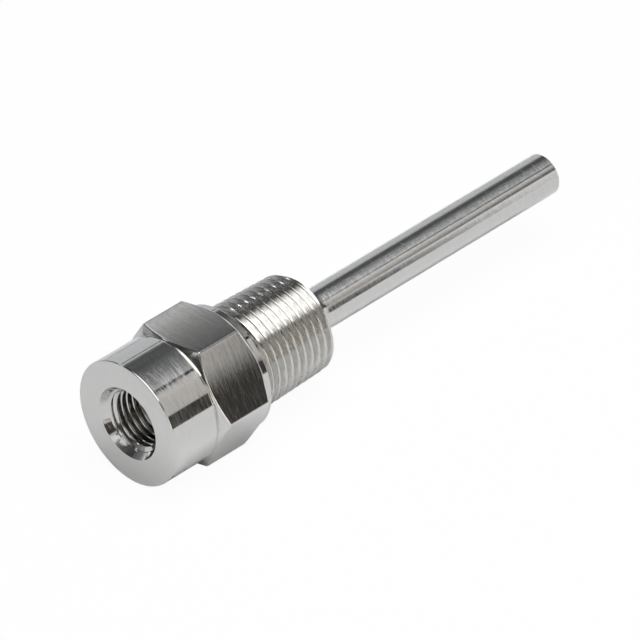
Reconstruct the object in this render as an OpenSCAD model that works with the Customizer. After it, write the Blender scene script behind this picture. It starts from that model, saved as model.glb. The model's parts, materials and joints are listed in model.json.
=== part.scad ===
// Screw-in thermowell turned in one piece from hexagon bar.
// The axis is X. X = 0 is the shoulder behind the hexagon, where the process
// thread starts, and +X runs to the closed tip. One flat of the hexagon faces
// down, because the part lies on it.

/* [Head] */
// Diameter of the round head and of the land behind the hexagon
head_d = 26; // [24:0.5:32]
// Length from the head's face to the groove in front of the hexagon
head_len = 10.6; // [4:0.1:30]
// Size of the broken edge round the face
head_edge = 0.2; // [0.1:0.05:0.8]

/* [Hexagon] */
// Size across the flats
hex_af = 26; // [24:0.5:36]
// Length of the full corners, between their two bevels
hex_len = 9.9; // [5:0.1:30]
// Angle of the corner bevels from the plane of the end faces
bevel_angle = 30; // [15:1:45]
// Length of the round land behind the hexagon
land_len = 1.5; // [0.5:0.1:5]
// Size of the broken edge of that land
land_edge = 0.3; // [0.1:0.05:0.4]
// Depth of the groove between the head and the hexagon
groove_depth = 0.3; // [0.1:0.05:1]
// Width of that groove's floor
groove_floor = 0.15; // [0.05:0.05:1]

/* [Process thread] */
// Diameter over the thread's crests at its small end
thread_d = 20.5; // [18:0.1:22]
// Length of the thread from the shoulder
thread_len = 19.85; // [12:0.05:30]
// Distance from crest to crest, 14 to the inch
thread_pitch = 1.8143; // [1:0.0001:2.5]
// Growth in diameter for each unit of length towards the shoulder
thread_taper = 0.0625; // [0:0.0025:0.1]
// Angle between the thread's flanks
thread_angle = 60; // [55:1:70]
// Width of the flat that each crest keeps
thread_flat = 0.16; // [0.1:0.02:0.3]
// Size of the bevel at the thread's small end
thread_bevel = 0.9; // [0.3:0.05:1.2]
// Length of the plain neck between the shoulder and the first turn
neck_len = 1.2; // [0.5:0.1:4]

/* [Stem] */
// Diameter of the stem
stem_d = 8.6; // [8:0.1:12]
// Length of the stem beyond the thread
stem_len = 67.65; // [30:0.05:300]
// Radius of the fillet where the stem leaves the thread's end
stem_fillet = 4.5; // [0.5:0.1:4.6]
// Radius of the rounded edge at the tip
tip_round = 0.5; // [0.2:0.1:2]

/* [Sensor port] */
// Diameter of the countersink at the face
sink_d = 15.1; // [14:0.1:18]
// Depth of the countersink
sink_depth = 1.35; // [0.5:0.05:4]
// Diameter of the port thread's first turn, where the countersink ends
port_major_d = 13.4; // [12.4:0.1:13.8]
// Diameter inside the port thread's crests
port_d = 11.4; // [9:0.1:12]
// Depth of the port from the face
port_depth = 16; // [8:0.5:22]
// Diameter of the long well bore
bore_d = 6.5; // [5:0.1:6.8]
// Thickness of metal left ahead of the well bore's drill point
tip_wall = 4; // [2:0.5:12]
// Point angle of the drills
drill_angle = 118; // [90:1:140]

/* [Hidden] */
$fn = 96;

steel = [0.78, 0.78, 0.77];
head_r = head_d / 2;
hex_corner_r = hex_af / 2 / cos(30);
bevel_slope = tan(bevel_angle);
groove_r = head_r - groove_depth;
stem_r = stem_d / 2;
thread_r = thread_d / 2;
bevel_r = thread_r - thread_bevel;
sink_r = sink_d / 2;
port_major_r = port_major_d / 2;
port_r = port_d / 2;
bore_r = bore_d / 2;
point_slope = tan(drill_angle / 2);

// One turn of the thread in section: two flanks and a crest, on a sharp root
flank_len = (thread_pitch - thread_flat) / 2;
thread_depth = flank_len / tan(thread_angle / 2);
turns = ceil((thread_len - neck_len) / thread_pitch);

// Stations along the axis, counted back from the shoulder at X = 0
land_x = -land_len;
hex_far_x = land_x - (hex_corner_r - head_r) * bevel_slope;
hex_near_x = hex_far_x - hex_len;
groove_far_x = hex_near_x - (hex_corner_r - groove_r) * bevel_slope;
groove_near_x = groove_far_x - groove_floor;
head_far_x = groove_near_x - groove_depth;
face_x = head_far_x - head_len;

// Stations ahead of the shoulder, and those of the drilling
tip_x = thread_len + stem_len;
bore_end_x = tip_x - tip_wall - bore_r / point_slope;
sink_x = face_x + sink_depth;
port_floor_x = face_x + port_depth;

// Radius over the crests at a station of the tapered thread
function crest_r(x) = thread_r + (thread_len - x) * thread_taper / 2;

// Radius at the roots there
function root_r(x) = crest_r(x) - thread_depth;

// The fillet stays inside the roots and the bevel that it starts under
fillet = min(stem_fillet, root_r(thread_len) - stem_r, bevel_r - stem_r);

// Turns an outline, with stations along X and radii along Y, about the X axis
module turned()
    rotate([0, 90, 0])
        rotate_extrude()
            mirror([1, -1])
                children();

// A rectangle of the outline between two stations and two radii
module band(x0, x1, r0, r1)
    translate([x0, r0])
        square([x1 - x0, r1 - r0]);

// Round head with its broken edge, and the groove that parts it from the hexagon
module head()
    turned()
        polygon([
            [face_x, 0],
            [face_x, head_r - head_edge],
            [face_x + head_edge, head_r],
            [head_far_x, head_r],
            [groove_near_x, groove_r],
            [groove_far_x, groove_r],
            [groove_far_x, 0]
        ]);

// Six flats, with a flat facing down, and the bevels turned on their corners
module hexagon()
    intersection() {
        translate([groove_far_x, 0, 0])
            rotate([0, 90, 0])
                rotate([0, 0, 30])
                    cylinder(r = hex_corner_r, h = land_x - groove_far_x, $fn = 6);
        turned()
            polygon([
                [groove_far_x, 0],
                [groove_far_x, groove_r],
                [hex_near_x, hex_corner_r],
                [hex_far_x, hex_corner_r],
                [land_x, head_r],
                [land_x, 0]
            ]);
    }

module land()
    turned()
        polygon([
            [land_x, 0],
            [land_x, head_r],
            [-land_edge, head_r],
            [0, head_r - land_edge],
            [0, 0]
        ]);

// Root, crest and end of the crest of the turn whose near root is at x
function turn(x) = [
    [x, root_r(x)],
    [x + flank_len, crest_r(x + flank_len)],
    [x + flank_len + thread_flat, crest_r(x + flank_len + thread_flat)]
];

// The neck and the thread's turns, each turn a ring on the tapered core, cut off
// square and bevelled at the small end
module process_thread()
    turned()
        intersection() {
            polygon(concat(
                [[0, 0], [0, root_r(neck_len)]],
                [for (i = [0:turns - 1], p = turn(neck_len + i * thread_pitch)) p],
                [[neck_len + turns * thread_pitch, 0]]
            ));
            polygon([
                [0, 0],
                [0, head_r],
                [thread_len + bevel_r - head_r, head_r],
                [thread_len, bevel_r],
                [thread_len, 0]
            ]);
        }

// The core from the hexagon to the thread's end, the fillet, the stem and its
// rounded tip
module stem()
    turned() {
        band(hex_near_x, thread_len, 0, stem_r + fillet);
        band(0, tip_x - tip_round, 0, stem_r);
        band(0, tip_x, 0, stem_r - tip_round);
        difference() {
            band(thread_len, thread_len + fillet, 0, stem_r + fillet);
            translate([thread_len + fillet, stem_r + fillet])
                circle(fillet);
        }
        translate([tip_x - tip_round, stem_r - tip_round])
            circle(tip_round);
    }

// Countersink, threaded port and its drill point
module port_cut()
    turned()
        polygon([
            [face_x, 0],
            [face_x, sink_r],
            [sink_x, port_major_r],
            [sink_x + port_major_r - port_r, port_r],
            [port_floor_x, port_r],
            [port_floor_x + port_r / point_slope, 0]
        ]);

// The long bore to the closed tip
module bore_cut()
    turned()
        polygon([
            [face_x, 0],
            [face_x, bore_r],
            [bore_end_x, bore_r],
            [bore_end_x + bore_r / point_slope, 0]
        ]);

module thermowell()
    color(steel)
        difference() {
            union() {
                head();
                hexagon();
                land();
                process_thread();
                stem();
            }
            port_cut();
            bore_cut();
        }

thermowell();
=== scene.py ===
"""Studio scene of a screw-in thermowell: one closed piece of turned and brushed steel.

The mesh is a single skin in columns round the X axis. It runs from the point of
the well bore out through the sensor port, over the head, the hexagon and the
process thread, and along the stem to the tip. Both threads come from one
Geometry Nodes tree and are welded into the skin.
"""

import json
import math

import bmesh
import bpy
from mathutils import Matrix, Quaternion, Vector


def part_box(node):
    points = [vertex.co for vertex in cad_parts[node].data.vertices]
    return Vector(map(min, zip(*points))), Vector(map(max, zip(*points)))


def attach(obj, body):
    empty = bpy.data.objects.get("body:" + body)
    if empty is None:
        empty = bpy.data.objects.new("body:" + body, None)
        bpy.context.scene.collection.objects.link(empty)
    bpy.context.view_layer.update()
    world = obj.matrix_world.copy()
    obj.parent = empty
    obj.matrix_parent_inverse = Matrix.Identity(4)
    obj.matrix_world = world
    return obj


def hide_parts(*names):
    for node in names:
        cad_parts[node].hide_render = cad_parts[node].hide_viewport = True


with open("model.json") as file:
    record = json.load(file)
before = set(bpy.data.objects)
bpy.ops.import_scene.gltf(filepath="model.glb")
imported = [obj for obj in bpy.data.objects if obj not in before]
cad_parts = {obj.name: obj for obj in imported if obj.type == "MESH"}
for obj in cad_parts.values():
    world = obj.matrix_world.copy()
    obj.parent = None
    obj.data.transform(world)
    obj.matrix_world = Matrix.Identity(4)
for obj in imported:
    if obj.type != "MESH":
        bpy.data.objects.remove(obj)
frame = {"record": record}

bl_info = {
    "name": "Thermowell studio",
    "version": (1, 0, 0),
    "blender": (4, 5, 0),
    "location": "3D View > Sidebar > Thermowell",
    "description": "Builds a screw-in thermowell of brushed steel on a pale studio floor",
    "category": "Add Mesh",
}

NODE = "thermowell"
PIECE = "thermowell_body"
MM = 0.001
CORNERS = 6

# The steel's finishes, in the order of the mesh's material slots
TURNED, FLATS, THREADED, TAPPED, DRILLED, GROUND = range(6)

# Points nearer than WELD become one, and an edge that turns by more than SHARP is a sharp one
WELD = 0.002 * MM
SHARP = math.radians(32)

# Steps along a rounded corner, the most of a side that its rounding takes, and steps along the fillet
ROUND_STEPS = 4
ROUND_SHARE = 0.45
FILLET_STEPS = 12

# Rows that a thread's grid starts before its first turn, so that it closes to a circle there
LEAD_IN = 1.5

# The slope of a cut at 45 degrees
EVEN_SLOPE = 1.0

# The marks: a broad pattern's scale and share beside the fine one, and where the fine one is rough
BROAD_SCALE = 0.23
BROAD_SHARE = 0.8
ROUGH_FROM, ROUGH_TO = 0.45, 0.75

# A surface lies across the axis where its normal's X is above FACING
FACING = 0.75

# The least distance from the axis, in metres, at which the marks are worked out
NEAR_AXIS = 1e-6

# The share of a turn that lays the spread of the shine across the marks
ACROSS_MARKS = 0.25

# The attribute that holds how bright a card is at each point
SHADE = "shade"

# Where the cards hang, in metres from the origin, and the steps between those that overlap
CEILING_Z = 1.0
BACK_Y = 0.8
FRONT = 0.5
FRONT_BEARING = math.radians(140)
NEAR_SIDE, FAR_SIDE = 0.24, 0.5
LEFT_X, RIGHT_X = -1.4, 0.9
CARD_STEP = 0.02
FRAME_STEP = 0.003

# Half the floor's side and how near and far the camera sees in metres, its sensor in millimetres
FLOOR_HALF = 3.0
CLIP_START, CLIP_END = 0.05, 20
SENSOR_WIDTH = 36


def dims(name):
    """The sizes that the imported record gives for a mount, in millimetres."""
    return next(mount["dims"] for mount in frame["record"]["mounts"] if mount["name"] == name)


LOW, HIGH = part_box(NODE)
FACE_X, TIP_X, FLAT_R = LOW[0], HIGH[0], HIGH[2]
THREAD_R = dims("process_thread")["r_mm"] * MM
THREAD_END = dims("process_thread")["length_mm"] * MM
PORT_R = dims("sensor_port")["r_mm"] * MM
BORE_R = dims("well_bore")["r_mm"] * MM
STEM_R = dims("stem")["r_mm"] * MM


def length_setting(name, description, default):
    """A length that a user may change, given in metres."""
    return bpy.props.FloatProperty(
        name=name, description=description, default=default, min=0, precision=6, unit="LENGTH"
    )


def angle_setting(name, description, degrees):
    """An angle, whose default is given in degrees."""
    return bpy.props.FloatProperty(
        name=name, description=description, default=math.radians(degrees), subtype="ANGLE"
    )


def factor_setting(name, description, default):
    """A share from 0 to 1."""
    return bpy.props.FloatProperty(
        name=name, description=description, default=default, min=0, max=1, subtype="FACTOR"
    )


def brightness_setting(name, description, default):
    """How bright a surface glows, where 1 is white."""
    return bpy.props.FloatProperty(name=name, description=description, default=default, min=0)


def colour_setting(name, description, default):
    """A colour's red, green and blue."""
    return bpy.props.FloatVectorProperty(
        name=name, description=description, default=default, size=3, min=0, max=1, subtype="COLOR"
    )


class BodySizes(bpy.types.PropertyGroup):
    """Sizes of the turned body that the frame doesn't give."""

    head_radius: length_setting("Head radius", "Radius of the round head", 13 * MM)
    head_length: length_setting("Head length", "From the face to the groove", 10.6 * MM)
    head_edge: length_setting("Head edge", "Rounding of the head's rim", 0.22 * MM)
    land_radius: length_setting("Land radius", "Radius of the round land behind the hexagon", 12.85 * MM)
    rear_edge: length_setting("Rear edge", "Rounding where the head falls to the groove", 0.4 * MM)
    groove_depth: length_setting("Groove depth", "Depth of the groove before the hexagon", 0.3 * MM)
    groove_floor: length_setting("Groove floor", "Width of that groove's floor", 0.15 * MM)
    bevel_angle: angle_setting("Bevel angle", "Angle of the hexagon's bevels from its end faces", 30)
    corner_round: length_setting("Corner round", "Rounding of the hexagon's corners", 0.3 * MM)
    crown: length_setting("Crown", "Radius of the flats' slight crown", 320 * MM)
    arris: length_setting("Arris", "Rounding where the front bevels meet the flats", 0.4 * MM)
    rear_arris: length_setting("Rear arris", "Rounding where the rear bevels meet the flats", 0.7 * MM)
    port_edge: length_setting("Port edge", "Rounding of the port's rim", 0.08 * MM)
    land_length: length_setting("Land length", "Length of the round land behind the hexagon", 1.5 * MM)
    land_edge: length_setting("Land edge", "Rounding of the land's rear rim", 0.15 * MM)
    neck_length: length_setting("Neck length", "From the shoulder to the first turn", 1.2 * MM)
    fillet: length_setting("Fillet", "Radius where the stem leaves the thread's end", 4.5 * MM)
    tip_round: length_setting("Tip round", "Rounding of the tip's edge", 0.25 * MM)
    sink_radius: length_setting("Countersink radius", "Radius of the countersink at the face", 7.55 * MM)
    sink_depth: length_setting("Countersink depth", "Depth of the countersink", 1.35 * MM)
    port_depth: length_setting("Port depth", "From the face to the shoulder of the drill point", 16 * MM)
    tip_wall: length_setting("Tip wall", "Metal ahead of the well bore's point", 4 * MM)
    drill_angle: angle_setting("Drill angle", "Angle of the drills' points", 118)
    columns: bpy.props.IntProperty(
        name="Columns", description="Columns of faces round the axis", default=216, min=24
    )
    crowding: factor_setting("Crowding", "How much the columns crowd to the hexagon's corners", 0.85)


class ThreadSizes(bpy.types.PropertyGroup):
    """Sizes of the two taper threads."""

    pitch: length_setting("Pitch", "Distance between the turns of the process thread", 1.8143 * MM)
    bevel: length_setting("End bevel", "Bevel at the small end of the process thread", 0.9 * MM)
    rows: bpy.props.IntProperty(
        name="Rows", description="Rows of faces in each turn of the process thread", default=16
    )
    lead: angle_setting("Lead", "Turn of the process thread about the axis", 80)
    crest_round: factor_setting("Crest round", "Share of the flanks that the crests' rounding takes", 0.16)
    port_pitch: length_setting("Port pitch", "Distance between the turns in the port", 1.4111 * MM)
    port_major: length_setting("Port major radius", "Radius at the roots by the mouth", 6.7 * MM)
    port_rows: bpy.props.IntProperty(
        name="Port rows", description="Rows of faces in each turn in the port", default=16
    )
    taper: factor_setting("Taper", "Growth of the diameter for each unit of length", 0.0625)
    flank: angle_setting("Flank angle", "Slope of a flank against the axis", 60)
    run_out: factor_setting("Run-out", "Slope at which the port's thread fades into its wall", 0.4)


class SteelLook(bpy.types.PropertyGroup):
    """Colours and finish of the steel."""

    steel: colour_setting("Steel", "Colour of the bare steel", (0.635, 0.618, 0.588))
    shade: colour_setting("Shade", "Colour of the steel in the marks", (0.59, 0.572, 0.542))
    mark_width: length_setting("Mark width", "Width of a turning mark", 0.14 * MM)
    mark_depth: length_setting("Mark depth", "Depth of a turning mark", 0.0016 * MM)
    polish: factor_setting("Polish", "Roughness between the marks", 0.07)
    rough: factor_setting("Rough", "Roughness in the marks", 0.18)
    grain: factor_setting("Grain", "How far the shine spreads across the marks", 0.85)


class StudioLook(bpy.types.PropertyGroup):
    """The floor, the cards, the surroundings and the camera."""

    floor: colour_setting("Floor", "Colour of the floor", (0.91, 0.915, 0.92))
    floor_white: factor_setting("Floor white", "Share of the seen floor that no shadow takes", 0.96)
    dark: colour_setting("Dark", "Colour of the unlit studio in the steel", (0.054, 0.05, 0.046))
    ambient: colour_setting("Ambient", "Colour of the light from all round", (0.05, 0.05, 0.05))
    table_left: length_setting("Table's left", "From the origin to the white table's left edge", 0.25)
    table_front: length_setting("Table's front", "From the origin to the table's front edge", 0.235)
    overhead: brightness_setting("Overhead", "Brightness of the softbox over the head", 4.0)
    ceiling: brightness_setting("Ceiling", "Brightness of the ceiling beside the softbox", 0.44)
    back: brightness_setting("Back wall", "Brightness of the white wall behind the part", 0.73)
    front: brightness_setting("Front card", "Brightness of the warm card on the camera's side", 0.65)
    side: brightness_setting("Side card", "Brightness of the white card beside the stem", 0.95)
    lens: length_setting("Focal length", "Focal length on a 36 mm wide sensor", 350.68 * MM)
    distance: length_setting("Distance", "From the camera to the point it looks at", 1183.3 * MM)
    azimuth: angle_setting("Azimuth", "Bearing in which the camera looks, from +X", 46.96)
    elevation: angle_setting("Elevation", "Height of the camera above the horizon", 34.04)
    roll: angle_setting("Roll", "Turn of the camera about its own axis", -3.47)
    aim: bpy.props.FloatVectorProperty(
        name="Aim",
        description="The point that the camera looks at",
        default=(24.17 * MM, -1.3 * MM, -1.41 * MM),
        size=3,
        unit="LENGTH",
    )


class Wiring:
    """Adds nodes to a tree and links them."""

    def __init__(self, tree):
        self.tree = tree

    def add(self, kind, settings=(), **sockets):
        """A node with its settings, and its inputs set to values or linked."""
        node = self.tree.nodes.new(kind)
        for name, value in dict(settings).items():
            setattr(node, name, value)
        for name, value in sockets.items():
            self.feed(node.inputs[name.replace("_", " ")], value)
        return node

    def feed(self, socket, value):
        """Links an input to a socket, or sets it to a value."""
        if isinstance(value, bpy.types.NodeSocket):
            self.tree.links.new(value, socket)
        else:
            socket.default_value = value

    def math(self, operation, *values):
        """The result of a math node on values or sockets."""
        node = self.add("ShaderNodeMath", {"operation": operation})
        for socket, value in zip(node.inputs, values):
            self.feed(socket, value)
        return node.outputs[0]

    def limit(self, value, low, high):
        """A value kept between two others."""
        return self.math("MINIMUM", self.math("MAXIMUM", value, low), high)

    def mix_colours(self, share, first, second):
        """The mix of two colours, by the sockets that this node keeps for colours."""
        node = self.add("ShaderNodeMix", {"data_type": "RGBA"})
        self.feed(node.inputs[0], share)
        self.feed(node.inputs[6], first)
        self.feed(node.inputs[7], second)
        return node.outputs[2]

    def mix_shaders(self, share, first, second):
        """The mix of two shaders."""
        node = self.add("ShaderNodeMixShader")
        for socket, value in zip(node.inputs, (share, first, second)):
            self.feed(socket, value)
        return node.outputs[0]


def fresh_wiring(owner):
    """Wiring for the emptied node tree of a material or world."""
    owner.use_nodes = True
    owner.node_tree.nodes.clear()
    return Wiring(owner.node_tree)


def declare(tree, side, sockets):
    """Gives a tree its inputs or outputs, each a name and a kind."""
    for name, kind in sockets:
        tree.interface.new_socket(name, in_out=side, socket_type="NodeSocket" + kind)


# The skin of the body, column by column


def column_angle(share, crowding):
    """Angle of a column at a share of the round, crowded to the hexagon's corners."""
    even = share * math.tau
    return even - crowding / CORNERS * math.sin(CORNERS * even)


def hexagon_reach(sizes, angle):
    """Radius of the hexagon's outline at an angle, its flats crowned and its corners rounded.

    fall is what the crown takes off a flat's edges, and centre is how far out the arc of
    a corner's rounding is centred.
    """
    half = math.pi / CORNERS
    off = abs((angle + half) % (2 * half) - half)
    edge = FLAT_R * math.tan(half)
    fall = edge**2 / (2 * sizes.crown)
    centre = (FLAT_R - fall - sizes.corner_round) / math.cos(half)
    side = centre * math.sin(off)
    along = FLAT_R * math.tan(half - off)
    flat = (FLAT_R - along**2 / (2 * sizes.crown)) / math.cos(half - off)
    if side > sizes.corner_round:
        return flat
    return min(flat, centre * math.cos(off) + math.sqrt(sizes.corner_round**2 - side**2))


def round_off(before, corner, after):
    """Points on the arc that rounds one corner of an outline."""
    here = Vector(corner[:2])
    back, on = Vector(before[:2]) - here, Vector(after[:2]) - here
    size = corner[2]
    if min(back.length, on.length) < WELD:
        return [here] * (ROUND_STEPS + 1)
    half = back.angle(on) / 2
    reach = min(size / math.tan(half), ROUND_SHARE * back.length, ROUND_SHARE * on.length)
    if reach < WELD:
        return [here] * (ROUND_STEPS + 1)
    back.normalize()
    on.normalize()
    radius = reach * math.tan(half)
    centre = here + (back + on).normalized() * (radius / math.sin(half))
    start, end = here + back * reach - centre, here + on * reach - centre
    turn = math.pi - 2 * half
    points = []
    for step in range(ROUND_STEPS + 1):
        share = step / ROUND_STEPS
        along = start * math.sin((1 - share) * turn) + end * math.sin(share * turn)
        points.append(centre + along / math.sin(turn))
    return points


def outline(corners):
    """Points and finishes of an outline whose corners are (station, radius, rounding, finish).

    A finish covers the faces from its corner to the next.
    """
    points = [(Vector(corners[0][:2]), corners[0][3])]
    for before, corner, after in zip(corners, corners[1:], corners[2:]):
        if corner[2]:
            points += [(point, corner[3]) for point in round_off(before, corner, after)]
        else:
            points.append((Vector(corner[:2]), corner[3]))
    points.append((Vector(corners[-1][:2]), corners[-1][3]))
    return points


def drilling(sizes, threads):
    """Outline from the well bore's point to the last turn in the port."""
    slope = math.tan(sizes.drill_angle / 2)
    bore_end = TIP_X - sizes.tip_wall - BORE_R / slope
    floor = FACE_X + sizes.port_depth
    return [
        (bore_end + BORE_R / slope, 0, 0, DRILLED),
        (bore_end, BORE_R, 0, DRILLED),
        (floor + (PORT_R - BORE_R) / slope, BORE_R, 0, DRILLED),
        (floor, PORT_R, 0, DRILLED),
        (floor - threads.port_pitch, PORT_R, 0, DRILLED),
    ]


def head_and_hexagon(sizes, threads, angle):
    """Outline from the port's first turn over the hexagon to the process thread."""
    slope = math.tan(sizes.bevel_angle)
    reach = hexagon_reach(sizes, angle)
    head, land = sizes.head_radius, sizes.land_radius
    groove = head - sizes.groove_depth
    head_end = FACE_X + sizes.head_length
    groove_start = head_end + sizes.groove_depth
    groove_end = groove_start + sizes.groove_floor
    land_start = -sizes.land_length
    neck = root_radius(threads, sizes.neck_length)
    neck_edge = sizes.land_edge / 2
    return [
        (FACE_X + sizes.sink_depth, threads.port_major, 0, TURNED),
        (FACE_X, sizes.sink_radius, sizes.port_edge, TURNED),
        (FACE_X, head, sizes.head_edge, TURNED),
        (head_end, head, sizes.rear_edge, TURNED),
        (groove_start, groove, 0, TURNED),
        (groove_end, groove, 0, TURNED),
        (groove_end + (reach - groove) * slope, reach, sizes.arris, FLATS),
        (land_start - (reach - head) * slope, reach, sizes.rear_arris, TURNED),
        (land_start + (head - land) * slope, land, sizes.rear_arris, TURNED),
        (0, land, sizes.land_edge, TURNED),
        (0, neck, neck_edge, TURNED),
        (sizes.neck_length, neck, 0, TURNED),
    ]


def stem(sizes):
    """Outline from the process thread's end face along the stem to the tip."""
    return [
        (THREAD_END, STEM_R + sizes.fillet, 0, GROUND),
        *fillet_points(sizes.fillet),
        (TIP_X, STEM_R, sizes.tip_round, GROUND),
        (TIP_X, 0, 0, GROUND),
    ]


def fillet_points(radius):
    """Corners on the quarter arc from the thread's end face to the stem."""
    points = []
    for step in range(1, FILLET_STEPS + 1):
        turn = math.pi / 2 * step / FILLET_STEPS
        station = THREAD_END + radius * (1 - math.cos(turn))
        points.append((station, STEM_R + radius * (1 - math.sin(turn)), 0, GROUND))
    return points


def add_skin(bm, sizes, corners_at):
    """Adds the faces between the outlines of neighbouring columns."""
    rows = []
    finishes = []
    for column in range(sizes.columns):
        angle = column_angle(column / sizes.columns, sizes.crowding)
        around = Vector((0, math.cos(angle), math.sin(angle)))
        points = outline(corners_at(angle))
        finishes = [finish for _, finish in points]
        rows.append([bm.verts.new(around * point.y + Vector((point.x, 0, 0))) for point, _ in points])
    for here, there in zip(rows, rows[1:] + rows[:1]):
        for row, finish in enumerate(finishes[:-1]):
            face = bm.faces.new((here[row], here[row + 1], there[row + 1], there[row]))
            face.material_index = finish


# The threads


def thread_depth(threads, pitch, rows):
    """Height of a flank, between flats one row wide."""
    return (pitch / 2 - pitch / rows) * math.tan(threads.flank)


def root_radius(threads, station):
    """Radius at the roots of the process thread at a station."""
    crest = THREAD_R + (THREAD_END - station) * threads.taper / 2
    return crest - thread_depth(threads, threads.pitch, threads.rows)


THREAD_INPUTS = (
    ("Start", "Float"),
    ("Length", "Float"),
    ("Pitch", "Float"),
    ("Rows per turn", "Int"),
    ("Turns", "Int"),
    ("Columns", "Int"),
    ("Crowding", "Float"),
    ("Lead", "Float"),
    ("Small radius", "Float"),
    ("Taper", "Float"),
    ("Depth", "Float"),
    ("Crest round", "Float"),
    ("Floor radius", "Float"),
    ("Mouth radius", "Float"),
    ("Mouth slope", "Float"),
    ("Start radius", "Float"),
    ("Start slope", "Float"),
    ("End radius", "Float"),
    ("End slope", "Float"),
    ("Close radius", "Float"),
    ("Finish", "Material"),
)


def thread_tree():
    """Right-hand taper thread as a sleeve of faces round X, closed to a circle at both ends."""
    tree = bpy.data.node_groups.new("Taper thread", "GeometryNodeTree")
    declare(tree, "INPUT", THREAD_INPUTS)
    declare(tree, "OUTPUT", [("Geometry", "Geometry")])
    w = Wiring(tree)
    given = w.add("NodeGroupInput").outputs
    step = w.math("DIVIDE", given["Pitch"], given["Rows per turn"])

    # A grid of rows along the helix and columns round the axis
    last_row = w.math("MULTIPLY", w.math("ADD", given["Turns"], 1), given["Rows per turn"])
    grid = w.add(
        "GeometryNodeMeshGrid",
        Size_X=last_row,
        Size_Y=given["Columns"],
        Vertices_X=w.math("ADD", last_row, 1),
        Vertices_Y=w.math("ADD", given["Columns"], 1),
    )
    place = w.add("ShaderNodeSeparateXYZ", Vector=w.add("GeometryNodeInputPosition").outputs[0])
    row = w.math("ROUND", w.math("ADD", place.outputs["X"], w.math("DIVIDE", last_row, 2)))
    column = w.math("ADD", place.outputs["Y"], w.math("DIVIDE", given["Columns"], 2))

    # The column's angle, crowded as the body's columns are
    even = w.math("MULTIPLY", w.math("DIVIDE", column, given["Columns"]), math.tau)
    swing = w.math("SINE", w.math("MULTIPLY", even, CORNERS))
    crowd = w.math("DIVIDE", given["Crowding"], CORNERS)
    angle = w.math("SUBTRACT", even, w.math("MULTIPLY", swing, crowd))

    # The station: rows climb one pitch a turn and stop at both ends
    share = w.math("DIVIDE", angle, math.tau)
    climb = w.math("MULTIPLY", share, given["Pitch"])
    lead_in = w.math("ADD", given["Rows per turn"], LEAD_IN)
    rise = w.math("MULTIPLY", w.math("SUBTRACT", row, lead_in), step)
    station = w.limit(w.math("ADD", rise, climb), 0, given["Length"])

    # The height on the flanks there, from 0 at a root to 1 at a crest
    turned = w.math("DIVIDE", w.math("SUBTRACT", station, climb), given["Pitch"])
    phase = w.math("FRACT", w.math("ADD", turned, w.math("DIVIDE", given["Lead"], math.tau)))
    fall = w.math("MULTIPLY", w.math("ABSOLUTE", w.math("SUBTRACT", phase, 0.5)), 2)
    flat = w.math("DIVIDE", 1, given["Rows per turn"])
    span = w.math("SUBTRACT", 1, w.math("MULTIPLY", flat, 2))
    height = w.math("DIVIDE", w.math("SUBTRACT", w.math("SUBTRACT", 1, flat), fall), span)
    height = w.math("SMOOTH_MIN", height, 1, given["Crest round"])
    height = w.math("MAXIMUM", height, 0)

    # The radius, on the taper and inside the cuts at both ends
    left = w.math("SUBTRACT", given["Length"], station)
    taper = w.math("MULTIPLY", left, w.math("DIVIDE", given["Taper"], 2))
    crest = w.math("ADD", given["Small radius"], taper)
    drop = w.math("MULTIPLY", given["Depth"], w.math("SUBTRACT", 1, height))
    radius = w.math("MAXIMUM", w.math("SUBTRACT", crest, drop), given["Floor radius"])
    mouth_fall = w.math("MULTIPLY", station, given["Mouth slope"])
    radius = w.math("MAXIMUM", radius, w.math("SUBTRACT", given["Mouth radius"], mouth_fall))
    start_cut = w.math("MULTIPLY_ADD", station, given["Start slope"], given["Start radius"])
    end_cut = w.math("MULTIPLY_ADD", left, given["End slope"], given["End radius"])
    radius = w.math("MINIMUM", radius, w.math("MINIMUM", start_cut, end_cut))
    is_last = w.math("COMPARE", row, last_row, 0.5)
    to_close = w.math("SUBTRACT", given["Close radius"], radius)
    radius = w.math("MULTIPLY_ADD", is_last, to_close, radius)

    point = w.add(
        "ShaderNodeCombineXYZ",
        X=w.math("ADD", given["Start"], station),
        Y=w.math("MULTIPLY", radius, w.math("COSINE", angle)),
        Z=w.math("MULTIPLY", radius, w.math("SINE", angle)),
    )
    wrapped = w.add(
        "GeometryNodeSetPosition", Geometry=grid.outputs["Mesh"], Position=point.outputs[0]
    )
    welded = w.add("GeometryNodeMergeByDistance", Geometry=wrapped.outputs[0], Distance=WELD)
    plain = w.add("GeometryNodeRealizeInstances", Geometry=welded.outputs[0])
    finished = w.add(
        "GeometryNodeSetMaterial", Geometry=plain.outputs[0], Material=given["Finish"]
    )
    w.add("NodeGroupOutput", Geometry=finished.outputs[0])
    return tree


def evaluated_mesh(carrier):
    """The mesh that an object's modifiers make, in place of the object itself."""
    evaluated = carrier.evaluated_get(bpy.context.evaluated_depsgraph_get())
    mesh = bpy.data.meshes.new_from_object(evaluated)
    bpy.data.objects.remove(carrier)
    return mesh


def thread_mesh(tree, values):
    """The tree's result for one thread, as a plain mesh."""
    carrier = bpy.data.objects.new("thread", bpy.data.meshes.new("thread"))
    bpy.context.scene.collection.objects.link(carrier)
    modifier = carrier.modifiers.new("Thread", "NODES")
    modifier.node_group = tree
    for socket in tree.interface.items_tree:
        if socket.in_out == "INPUT":
            modifier[socket.identifier] = values[socket.name]
    return evaluated_mesh(carrier)


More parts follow.
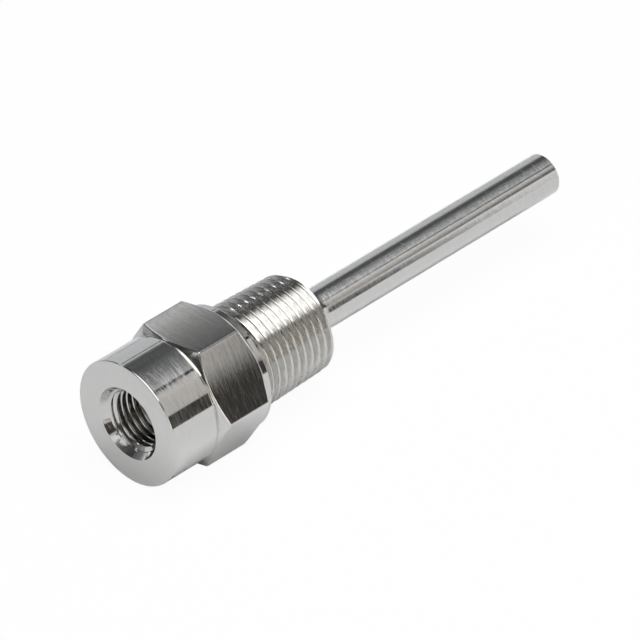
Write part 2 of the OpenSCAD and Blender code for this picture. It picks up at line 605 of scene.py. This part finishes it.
def process_thread_values(sizes, threads, finish):
    """The tree's inputs for the process thread, cut at its start and bevelled at its end."""
    span = THREAD_END - sizes.neck_length
    return {
        "Start": sizes.neck_length,
        "Length": span,
        "Pitch": threads.pitch,
        "Rows per turn": threads.rows,
        "Turns": math.ceil(span / threads.pitch) + 1,
        "Columns": sizes.columns,
        "Crowding": sizes.crowding,
        "Lead": threads.lead,
        "Small radius": THREAD_R,
        "Taper": threads.taper,
        "Depth": thread_depth(threads, threads.pitch, threads.rows),
        "Crest round": threads.crest_round,
        "Floor radius": 0.0,
        "Mouth radius": 0.0,
        "Mouth slope": 0.0,
        "Start radius": root_radius(threads, sizes.neck_length),
        "Start slope": math.tan(threads.flank),
        "End radius": THREAD_R - threads.bevel,
        "End slope": EVEN_SLOPE,
        "Close radius": STEM_R + sizes.fillet,
        "Finish": finish,
    }


def port_thread_values(sizes, threads, finish):
    """The tree's inputs for the port's thread, flared at its mouth and faded out inside.

    Its start cut lies outside the whole body, so that it takes nothing away.
    """
    span = sizes.port_depth - sizes.sink_depth - threads.port_pitch
    return {
        "Start": FACE_X + sizes.sink_depth,
        "Length": span,
        "Pitch": threads.port_pitch,
        "Rows per turn": threads.port_rows,
        "Turns": math.ceil(span / threads.port_pitch) + 1,
        "Columns": sizes.columns,
        "Crowding": sizes.crowding,
        "Lead": 0.0,
        "Small radius": threads.port_major - span * threads.taper / 2,
        "Taper": threads.taper,
        "Depth": thread_depth(threads, threads.port_pitch, threads.port_rows),
        "Crest round": 0.0,
        "Floor radius": PORT_R,
        "Mouth radius": threads.port_major,
        "Mouth slope": math.tan(threads.flank),
        "Start radius": 2 * FLAT_R,
        "Start slope": EVEN_SLOPE,
        "End radius": PORT_R,
        "End slope": threads.run_out,
        "Close radius": PORT_R,
        "Finish": finish,
    }


def weld(bm):
    """Joins the stretches of the skin, and stops if it isn't closed."""
    bmesh.ops.remove_doubles(bm, verts=bm.verts, dist=WELD)
    bmesh.ops.recalc_face_normals(bm, faces=bm.faces)
    open_edges = [edge for edge in bm.edges if not edge.is_manifold]
    if open_edges:
        raise RuntimeError(f"the skin has {len(open_edges)} open edges")
    if bm.calc_volume(signed=True) < 0:
        bmesh.ops.reverse_faces(bm, faces=bm.faces)


def finished_mesh(bm, finishes):
    """The skin as a mesh with its finishes, smooth but for the sharp edges off the threads.

    Weighted normals keep the wide faces flat beside their narrow roundings.
    """
    skin = bpy.data.meshes.new(PIECE)
    for finish in finishes:
        skin.materials.append(finish)
    for face in bm.faces:
        face.smooth = True
    for edge in bm.edges:
        turned = edge.calc_face_angle() > SHARP
        on_thread = all(face.material_index in (THREADED, TAPPED) for face in edge.link_faces)
        edge.smooth = on_thread or not turned
    bm.to_mesh(skin)
    carrier = bpy.data.objects.new(PIECE, skin)
    bpy.context.scene.collection.objects.link(carrier)
    shading = carrier.modifiers.new("Shading", "WEIGHTED_NORMAL")
    shading.keep_sharp = True
    return evaluated_mesh(carrier)


# The finish of the steel


def marks_group():
    """Fine marks that run round the axis: their height, and where they are rough."""
    tree = bpy.data.node_groups.new("Turning marks", "ShaderNodeTree")
    declare(tree, "INPUT", [("Width", "Float"), ("Reach", "Float")])
    declare(tree, "OUTPUT", [("Height", "Float"), ("Rough", "Float")])
    w = Wiring(tree)
    given = w.add("NodeGroupInput").outputs
    spot = w.add("ShaderNodeTexCoord").outputs
    place = w.add("ShaderNodeSeparateXYZ", Vector=spot["Object"]).outputs
    facing = w.add("ShaderNodeSeparateXYZ", Vector=spot["Normal"]).outputs
    squares = [w.math("MULTIPLY", place[axis], place[axis]) for axis in "YZ"]
    across = w.math("SQRT", w.math("ADD", *squares))

    # The way over the marks: along the axis on the sides, outwards on the faces
    on_face = w.math("GREATER_THAN", w.math("ABSOLUTE", facing["X"]), FACING)
    way = w.math("MULTIPLY_ADD", on_face, w.math("SUBTRACT", across, place["X"]), place["X"])

    # Noise on a ring of radius Reach, so that a mark is narrow over the way and long round the axis
    spin = w.math("DIVIDE", given["Reach"], w.math("MAXIMUM", across, NEAR_AXIS))
    spot_on = w.add(
        "ShaderNodeCombineXYZ",
        X=w.math("DIVIDE", way, given["Width"]),
        Y=w.math("MULTIPLY", place["Y"], spin),
        Z=w.math("MULTIPLY", place["Z"], spin),
    ).outputs[0]
    fine = w.add("ShaderNodeTexNoise", Vector=spot_on, Scale=1.0, Detail=2.0, Roughness=0.6)
    broad = w.add(
        "ShaderNodeTexNoise", Vector=spot_on, Scale=BROAD_SCALE, Detail=1.0, Roughness=0.5
    )
    height = w.math("MULTIPLY_ADD", broad.outputs[0], BROAD_SHARE, fine.outputs[0])
    rough = w.add(
        "ShaderNodeMapRange", Value=fine.outputs[0], From_Min=ROUGH_FROM, From_Max=ROUGH_TO
    )
    w.add("NodeGroupOutput", Height=height, Rough=rough.outputs[0])
    return tree


def steel_material(name, marks, look, width=1.0, reach=4.0, depth=1.0, roughness=1.0, grain=1.0):
    """Brushed steel whose marks run round the axis, so that its shine spreads along it.

    reach is how often the marks change round the axis. The other numbers are shares of the
    look's own values.
    """
    material = bpy.data.materials.new(name)
    w = fresh_wiring(material)
    pattern = w.add(
        "ShaderNodeGroup", {"node_tree": marks}, Width=look.mark_width * width, Reach=reach
    ).outputs
    shine = w.add(
        "ShaderNodeMapRange",
        Value=pattern["Rough"],
        To_Min=look.polish * roughness,
        To_Max=look.rough * roughness,
    )
    bump = w.add(
        "ShaderNodeBump", Height=pattern["Height"], Strength=1.0, Distance=look.mark_depth * depth
    )
    along = w.add("ShaderNodeTangent", {"direction_type": "RADIAL", "axis": "X"})
    steel = w.add(
        "ShaderNodeBsdfPrincipled",
        Base_Color=w.mix_colours(pattern["Rough"], (*look.steel, 1), (*look.shade, 1)),
        Metallic=1.0,
        Roughness=shine.outputs[0],
        Normal=bump.outputs[0],
        Anisotropic=look.grain * grain,
        Anisotropic_Rotation=ACROSS_MARKS,
        Tangent=along.outputs[0],
    )
    w.add("ShaderNodeOutputMaterial", Surface=steel.outputs[0])
    return material


# Each finish's name and how it differs from the steel's own look, in the order of the slots
FINISHES = (
    ("Turned steel", {}),
    ("Brushed flats", {"depth": 5.0, "roughness": 0.85}),
    ("Threaded steel", {"reach": 6.0, "depth": 0.5, "roughness": 2.0, "grain": 0.6}),
    ("Tapped steel", {"reach": 6.0, "depth": 0.3, "roughness": 0.9, "grain": 0.5}),
    ("Drilled steel", {"reach": 6.0, "roughness": 1.8}),
    ("Ground steel", {"width": 1.1, "reach": 2.5, "depth": 5.0, "roughness": 1.55}),
)


class WELL_OT_add_thermowell(bpy.types.Operator):
    """Builds the thermowell's skin with both threads and its steel finish"""

    bl_idname = "well.add_thermowell"
    bl_label = "Add thermowell"

    def execute(self, context):
        scene = context.scene
        sizes, threads, look = scene.well_sizes, scene.well_threads, scene.well_steel
        marks = marks_group()
        finishes = [steel_material(name, marks, look, **how) for name, how in FINISHES]

        tree = thread_tree()
        bm = bmesh.new()
        for finish, values in (
            (THREADED, process_thread_values(sizes, threads, finishes[THREADED])),
            (TAPPED, port_thread_values(sizes, threads, finishes[TAPPED])),
        ):
            before = len(bm.faces)
            bm.from_mesh(thread_mesh(tree, values))
            bm.faces.ensure_lookup_table()
            for face in bm.faces[before:]:
                face.material_index = finish
        add_skin(bm, sizes, lambda angle: drilling(sizes, threads))
        add_skin(bm, sizes, lambda angle: head_and_hexagon(sizes, threads, angle))
        add_skin(bm, sizes, lambda angle: stem(sizes))
        weld(bm)
        piece = bpy.data.objects.new(PIECE, finished_mesh(bm, finishes))
        bm.free()
        scene.collection.objects.link(piece)
        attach(piece, "root")
        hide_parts(NODE)
        return {"FINISHED"}


# The studio


def glowing(name, brightness, tint):
    """A material that glows with a card's own shading."""
    material = bpy.data.materials.new(name)
    w = fresh_wiring(material)
    shade = w.add("ShaderNodeAttribute", {"attribute_name": SHADE})
    strength = w.math("MULTIPLY", shade.outputs["Fac"], brightness)
    glow = w.add("ShaderNodeEmission", Color=(*tint, 1), Strength=strength)
    w.add("ShaderNodeOutputMaterial", Surface=glow.outputs[0])
    return material


def add_card(name, place, brightness, tint, rows, lights_floor=False):
    """A card that lights the part and shows in its steel, but not to the camera.

    It is given as rows of corners. A corner is two lengths in metres, which place takes to a
    point, and may add how bright the card is there. With lights_floor it lights matt surfaces too.
    """
    corners = [corner for row in rows for corner in row]
    across = len(rows[0])
    faces = [
        (first + i, first + i + 1, first + i + 1 + across, first + i + across)
        for first in range(0, len(corners) - across, across)
        for i in range(across - 1)
    ]
    mesh = bpy.data.meshes.new(name)
    mesh.from_pydata([place(*corner[:2]) for corner in corners], [], faces)
    shade = mesh.attributes.new(SHADE, "FLOAT", "POINT")
    for point, corner in zip(shade.data, corners):
        point.value = corner[2] if len(corner) > 2 else 1
    mesh.materials.append(glowing(name, brightness, tint))
    card = bpy.data.objects.new(name, mesh)
    card.visible_camera = False
    card.visible_diffuse = lights_floor
    bpy.context.scene.collection.objects.link(card)


def ceiling(height):
    """A level plane at a height. Its corners are given along X and Y."""
    return lambda x, y: (x, y, height)


def wall(distance, bearing):
    """A plane along X at a distance from it, on a bearing round X from +Y towards +Z.

    Its corners are given along X and across it, upwards at +Y and downwards at -Y.
    """
    out = Vector((0, math.cos(bearing), math.sin(bearing)))
    over = Vector((0, -math.sin(bearing), math.cos(bearing)))
    return lambda x, w: out * distance + over * w + Vector((x, 0, 0))


def end_wall(station):
    """An upright plane across X. Its corners are given along Y and Z."""
    return lambda y, z: (station, y, z)


def oblong(left, right, low, high):
    """An evenly bright oblong's rows of corners."""
    return (((left, low), (right, low)), ((left, high), (right, high)))


def shaded(columns, rows):
    """An oblong's rows of corners, as bright as their column's share times their row's."""
    return [[(x, y, across * along) for x, across in columns] for y, along in rows]


# Tints of the cards
CREAM = (1.0, 0.99, 0.98)
WARM = (1.0, 0.975, 0.93)
COOL = (0.905, 0.95, 1.0)
NEUTRAL = (0.94, 0.965, 1.0)


def add_overhead_cards(look):
    """The softbox over the head, the lights to its left and the ceiling beside them."""
    over = ceiling(CEILING_Z)
    softbox = (
        ((-0.36, -0.92), (0.68, -0.92)),
        ((-0.36, 0.08), (0.45, 0.08)),
        ((-0.36, 0.42, 0), (0.39, 0.42, 0)),
    )
    add_card("Overhead softbox", over, look.overhead, NEUTRAL, softbox, lights_floor=True)
    left = shaded(
        ((-1.7, 1), (-0.45, 1)),
        ((-1.15, 0.1), (-0.87, 1), (-0.42, 1), (-0.25, 0.4), (-0.15, 0.22)),
    )
    add_card("Left light", over, 1.0, NEUTRAL, left, lights_floor=True)
    left_end = shaded(((-0.95, 1), (-0.45, 1)), ((-0.15, 0.22), (0.3, 0.1), (0.9, 0.08)))
    add_card("Left light's end", over, 0.9, NEUTRAL, left_end)
    left_wall = shaded(((-0.42, 1), (0.2, 1), (0.5, 0.3)), ((0.45, 1), (1.35, 1)))
    add_card("Left wall", end_wall(LEFT_X), 1.0, NEUTRAL, left_wall, lights_floor=True)
    beside = shaded(
        ((0.3, 0.85), (0.66, 0.85), (0.74, 1.8), (0.83, 1.1), (1.6, 1)),
        ((-0.95, 1.25), (0.5, 0.2), (1.6, 0.3)),
    )
    add_card("Ceiling", ceiling(CEILING_Z + CARD_STEP), look.ceiling, COOL, beside)


def add_back_cards(look):
    """The white wall behind the part, and the lights in it."""
    back = wall(BACK_Y, 0)
    add_card("Back wall", back, look.back, COOL, oblong(0.25, 2.2, LOW[2], 0.565))
    left = shaded(
        ((-1.4, 0.45), (-0.75, 0.3), (-0.35, 0.65), (-0.05, 1), (0.25, 1)),
        (
            (LOW[2], 1.1),
            (0.1, 1.3),
            (0.18, 0.7),
            (0.3, 0.4),
            (0.565, 0.3),
            (0.75, 0.28),
            (0.9, 0.12),
        ),
    )
    add_card("Back wall's left", back, look.back, COOL, left)
    corner = oblong(-0.9, -0.66, 0.46, 0.6)
    add_card("Back corner light", wall(BACK_Y - CARD_STEP, 0), 5.0, NEUTRAL, corner)
    slit = shaded(
        ((0.5, 1), (2.2, 1)),
        ((0.635, 1.2), (0.66, 1.1), (0.68, 0.55), (0.72, 0.3), (0.84, 0.1)),
    )
    add_card("Back slit", back, 1.0, NEUTRAL, slit)
    add_card("Back light", back, 2.5, NEUTRAL, oblong(0.28, 0.56, 0.6, 0.93))


def add_front_cards(look):
    """The warm card on the camera's side, in a dark frame."""
    card = (
        ((0.1, 0.222, 0.07), (0.355, 0.203, 0.07)),
        ((0.1, 0.2), (0.355, 0.183)),
        ((0.125, 0.13), (0.362, 0.115)),
        ((0.14, 0.09), (0.45, -0.02)),
        ((0.33, -0.197, 1.1), (0.6, -0.197, 1.1)),
    )
    add_card("Front card", wall(FRONT, FRONT_BEARING), look.front, CREAM, card)
    edge = (
        ((0.07, 0.2), (0.365, 0.187)),
        ((0.11, 0.08), (0.465, 0)),
        ((0.31, -0.25), (0.68, -0.25)),
    )
    add_card("Front frame", wall(FRONT + FRAME_STEP, FRONT_BEARING), 0.0, CREAM, edge)


def add_side_cards(look):
    """The cards on the -Y side, and the one past the tip."""
    near = (((0.216, -0.139), (0.6, -0.139)), ((0.231, -LOW[2]), (0.6, -LOW[2])))
    add_card("Side card", wall(NEAR_SIDE, math.pi), look.side, NEUTRAL, near)
    side = wall(FAR_SIDE, math.pi)
    gap = wall(FAR_SIDE + CARD_STEP, math.pi)
    add_card("Left card", side, 0.85, WARM, oblong(-0.05, 0.25, -0.2, 0.013))
    add_card("Left gap", gap, 0.038, WARM, oblong(0.24, 0.36, -0.3, 0.013))
    add_card("Far left card", side, 2.0, WARM, oblong(-0.26, -0.05, -0.3, 0.013))
    add_card("Low left card", side, 0.6, WARM, oblong(-0.9, -0.26, -0.075, 0.013))
    add_card("Far left wall", side, 0.4, WARM, oblong(-2.2, -0.65, -0.6, -0.08))
    add_card("End card", end_wall(RIGHT_X), 1.5, NEUTRAL, oblong(-0.5, 0.8, LOW[2], 0.12))


class WELL_OT_add_studio(bpy.types.Operator):
    """Adds the floor, the cards, the surroundings and the camera"""

    bl_idname = "well.add_studio"
    bl_label = "Add studio"

    def execute(self, context):
        look = context.scene.well_studio
        add_floor(look)
        add_world(look)
        add_overhead_cards(look)
        add_back_cards(look)
        add_front_cards(look)
        add_side_cards(look)
        add_camera(context.scene, look)
        return {"FINISHED"}


def floor_material(look):
    """A pale floor, nearly white to the camera and a lit table in the steel."""
    material = bpy.data.materials.new("Pale floor")
    w = fresh_wiring(material)
    ray = w.add("ShaderNodeLightPath").outputs
    matt = w.add("ShaderNodeBsdfDiffuse", Color=(*look.floor, 1))
    white = w.add("ShaderNodeEmission", Color=(1, 1, 1, 1), Strength=1.0)
    seen = w.math("MULTIPLY", ray["Is Camera Ray"], look.floor_white)
    lit = w.mix_shaders(seen, matt.outputs[0], white.outputs[0])

    # In the steel the white ends at the table's two near edges
    place = w.add("ShaderNodeSeparateXYZ", Vector=w.add("ShaderNodeTexCoord").outputs["Object"])
    past = w.math(
        "MAXIMUM",
        w.math("LESS_THAN", place.outputs["X"], -look.table_left),
        w.math("LESS_THAN", place.outputs["Y"], -look.table_front),
    )
    unlit = w.add("ShaderNodeEmission", Color=(*look.dark, 1), Strength=1.0)
    in_steel = w.math("MULTIPLY", past, ray["Is Glossy Ray"])
    w.add("ShaderNodeOutputMaterial", Surface=w.mix_shaders(in_steel, lit, unlit.outputs[0]))
    return material


def add_floor(look):
    """A square floor at the height of the part's lowest point."""
    mesh = bpy.data.meshes.new("floor")
    corners = [
        (side_x * FLOOR_HALF, side_y * FLOOR_HALF, LOW[2])
        for side_x, side_y in ((-1, -1), (1, -1), (1, 1), (-1, 1))
    ]
    mesh.from_pydata(corners, [], [(0, 1, 2, 3)])
    mesh.materials.append(floor_material(look))
    floor = bpy.data.objects.new("floor", mesh)
    bpy.context.scene.collection.objects.link(floor)


def add_world(look):
    """White to the camera, dark in the steel, and a faint light on matt surfaces."""
    world = bpy.data.worlds.new("Studio")
    w = fresh_wiring(world)
    ray = w.add("ShaderNodeLightPath").outputs
    lit = w.mix_colours(ray["Is Glossy Ray"], (*look.ambient, 1), (*look.dark, 1))
    shown = w.mix_colours(ray["Is Camera Ray"], lit, (1, 1, 1, 1))
    glow = w.add("ShaderNodeBackground", Color=shown, Strength=1.0)
    w.add("ShaderNodeOutputWorld", Surface=glow.outputs[0])
    bpy.context.scene.world = world


def add_camera(scene, look):
    """A long lens that looks down at the aim, past the head and along the stem."""
    lens = bpy.data.cameras.new("Camera")
    lens.sensor_width = SENSOR_WIDTH
    lens.lens = look.lens / MM
    lens.clip_start = CLIP_START
    lens.clip_end = CLIP_END
    camera = bpy.data.objects.new("Camera", lens)
    level = math.cos(look.elevation)
    ahead = Vector(
        (math.cos(look.azimuth) * level, math.sin(look.azimuth) * level, -math.sin(look.elevation))
    )
    camera.location = Vector(look.aim) - ahead * look.distance
    camera.rotation_mode = "QUATERNION"
    camera.rotation_quaternion = ahead.to_track_quat("-Z", "Y") @ Quaternion((0, 0, 1), look.roll)
    scene.collection.objects.link(camera)
    scene.camera = camera
    scene.view_settings.view_transform = "Standard"


class WELL_PT_panel(bpy.types.Panel):
    """Sizes, finish and studio of the thermowell"""

    bl_label = "Thermowell"
    bl_space_type = "VIEW_3D"
    bl_region_type = "UI"
    bl_category = "Thermowell"

    def draw(self, context):
        for title, (name, group) in GROUPS.items():
            box = self.layout.box()
            box.label(text=title)
            settings = getattr(context.scene, name)
            for setting in group.__annotations__:
                box.prop(settings, setting)
        for step in STEPS:
            self.layout.operator(step.bl_idname)


# The settings in the panel: where the scene keeps them, and their class
GROUPS = {
    "Body": ("well_sizes", BodySizes),
    "Threads": ("well_threads", ThreadSizes),
    "Steel": ("well_steel", SteelLook),
    "Studio": ("well_studio", StudioLook),
}
STEPS = (WELL_OT_add_thermowell, WELL_OT_add_studio)
CLASSES = (BodySizes, ThreadSizes, SteelLook, StudioLook, *STEPS, WELL_PT_panel)


def register():
    for cls in CLASSES:
        bpy.utils.register_class(cls)
    for name, group in GROUPS.values():
        setattr(bpy.types.Scene, name, bpy.props.PointerProperty(type=group))


def unregister():
    for name, _ in GROUPS.values():
        delattr(bpy.types.Scene, name)
    for cls in reversed(CLASSES):
        bpy.utils.unregister_class(cls)


def main():
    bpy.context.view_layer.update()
    register()
    bpy.ops.well.add_thermowell()
    bpy.ops.well.add_studio()


if __name__ == "__main__":
    main()
